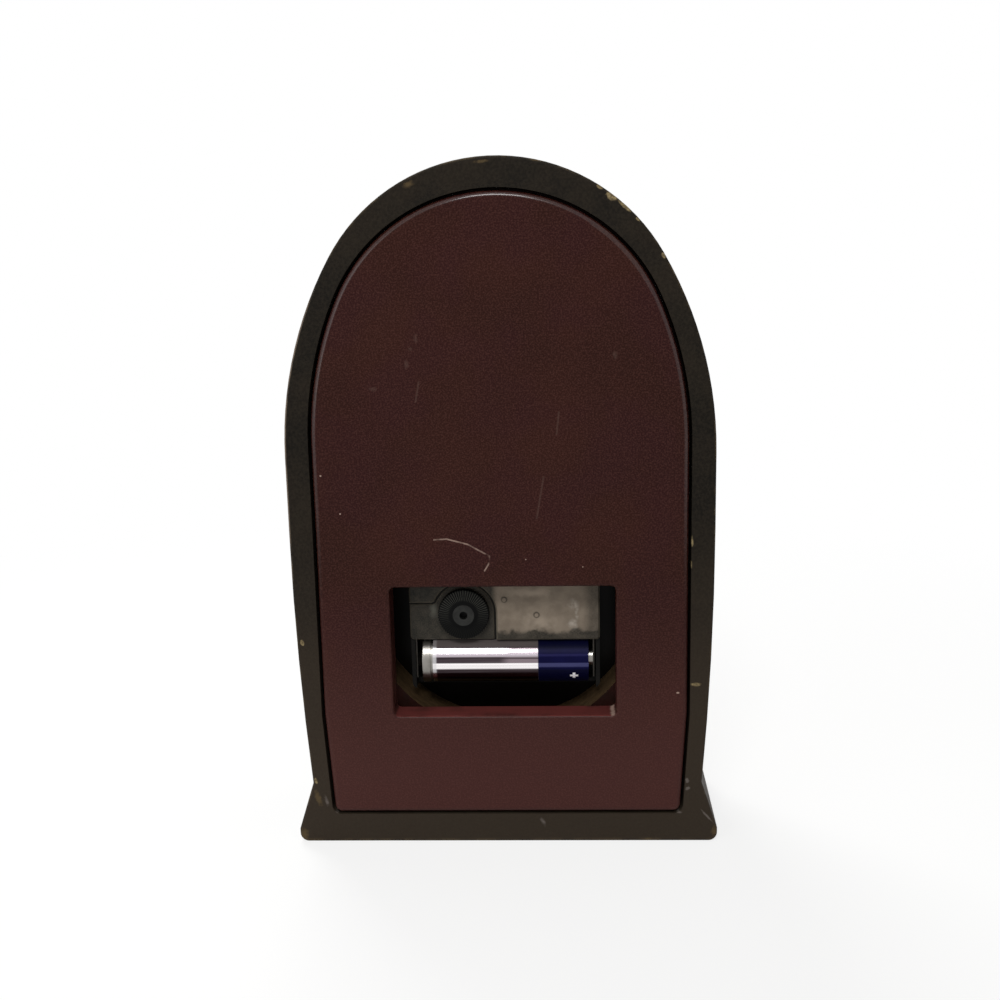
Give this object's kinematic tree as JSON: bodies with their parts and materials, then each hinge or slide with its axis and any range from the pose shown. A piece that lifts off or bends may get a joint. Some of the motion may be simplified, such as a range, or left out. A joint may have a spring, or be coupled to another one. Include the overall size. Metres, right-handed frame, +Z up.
{
  "type": "arched shelf clock",
  "caption": "Small arched shelf clock: black case band with flared foot, oxblood boards, round dial, quartz movement and AA cell behind a rear window.",
  "frame": {"origin": "on the table, under the middle of the case", "axes": "+Z up, the dial faces -Y and the rear window faces +Y, +X to the right seen from the front"},
  "size_m": [0.1246, 0.044, 0.1985],
  "materials": {
    "black_paint": "worn satin black paint over wood",
    "oxblood_lacquer": "dull oxblood lacquer over wood",
    "raw_fibreboard": "bare sawn fibreboard",
    "polished_brass": "polished brass",
    "clear_glass": "clear flat glass",
    "dial_enamel": "off-white enamelled aluminium",
    "hand_black": "black lacquered aluminium",
    "black_rubber": "matt black rubber",
    "black_moulding": "moulded black plastic",
    "smoky_moulding": "smoky grey moulded plastic",
    "knob_plastic": "ridged black plastic",
    "white_nylon": "moulded white nylon",
    "magnet_ferrite": "grey sintered ferrite",
    "motor_iron": "plain sheet iron",
    "copper_wire": "enamelled copper winding",
    "circuit_laminate": "green circuit laminate",
    "chip_resin": "black resin",
    "bright_steel": "nickel plated steel",
    "cell_can": "bright plated can, weighed as a filled cell",
    "cell_sleeve": "glossy silver and navy sleeve"
  },
  "bodies": {
    "case": {"case_surround": "black_paint", "front_board": "oxblood_lacquer", "core_board": "raw_fibreboard", "back_panel": "oxblood_lacquer", "bezel_ring": "polished_brass", "sight_ring": "polished_brass", "dial_plate": "dial_enamel", "dial_glass": "clear_glass", "rubber_washer": "black_rubber", "brass_washer": "polished_brass", "mounting_nut": "polished_brass", "movement_case": "black_moulding", "movement_cover": "smoky_moulding", "middle_plate": "black_moulding", "stator_plate": "motor_iron", "coil_core": "motor_iron", "coil_bobbin": "white_nylon", "coil_winding": "copper_wire", "circuit_board": "circuit_laminate", "timing_chip": "chip_resin", "quartz_crystal": "bright_steel", "negative_contact": "bright_steel", "positive_contact": "bright_steel"},
    "minute": {"minute_pipe": "white_nylon", "minute_hand": "hand_black"},
    "hour": {"hour_wheel": "white_nylon", "hour_hand": "hand_black"},
    "setting": {"minute_wheel": "white_nylon", "set_knob": "knob_plastic"},
    "seconds": {"seconds_wheel": "white_nylon", "second_hand": "polished_brass"},
    "centre": {"centre_wheel": "white_nylon"},
    "third": {"third_wheel": "white_nylon"},
    "step": {"step_wheel": "white_nylon"},
    "rotor": {"rotor_pinion": "white_nylon", "rotor_magnet": "magnet_ferrite"},
    "cell": {"battery_can": "cell_can", "battery_sleeve": "cell_sleeve"}
  },
  "joints": [
    {"name": "minute_hand_turn", "type": "hinge", "parent": "case", "child": "minute", "pos_m": [0, 0, 0.0727], "axis": [0, 1, 0], "continuous": true},
    {"name": "hour_hand_turn", "type": "hinge", "parent": "case", "child": "hour", "pos_m": [0, 0, 0.0727], "axis": [0, 1, 0], "continuous": true},
    {"name": "set_knob_turn", "type": "hinge", "parent": "case", "child": "setting", "pos_m": [0.0119, 0, 0.06856], "axis": [0, 1, 0], "continuous": true},
    {"name": "second_hand_turn", "type": "hinge", "parent": "case", "child": "seconds", "pos_m": [0, 0, 0.0727], "axis": [0, 1, 0], "continuous": true},
    {"name": "centre_wheel_turn", "type": "hinge", "parent": "case", "child": "centre", "pos_m": [0, 0, 0.0727], "axis": [0, 1, 0], "continuous": true},
    {"name": "third_wheel_turn", "type": "hinge", "parent": "case", "child": "third", "pos_m": [-0.00417, 0, 0.08416], "axis": [0, 1, 0], "continuous": true},
    {"name": "step_wheel_turn", "type": "hinge", "parent": "case", "child": "step", "pos_m": [-0.00945, 0, 0.06801], "axis": [0, 1, 0], "continuous": true},
    {"name": "rotor_turn", "type": "hinge", "parent": "case", "child": "rotor", "pos_m": [-0.01478, 0, 0.07109], "axis": [0, 1, 0], "continuous": true},
    {"name": "cell_removal", "type": "slide", "parent": "case", "child": "cell", "axis": [0, 0.9848, -0.1736], "range_m": [0, 0.045]}
  ],
  "couplings": [
    {"joint": "hour_hand_turn", "follows": "minute_hand_turn", "ratio": 0.083333},
    {"joint": "set_knob_turn", "follows": "minute_hand_turn", "ratio": -0.5},
    {"joint": "centre_wheel_turn", "follows": "second_hand_turn", "ratio": 0.016667},
    {"joint": "third_wheel_turn", "follows": "second_hand_turn", "ratio": -0.13333},
    {"joint": "step_wheel_turn", "follows": "second_hand_turn", "ratio": -5},
    {"joint": "rotor_turn", "follows": "second_hand_turn", "ratio": 30}
  ]
}
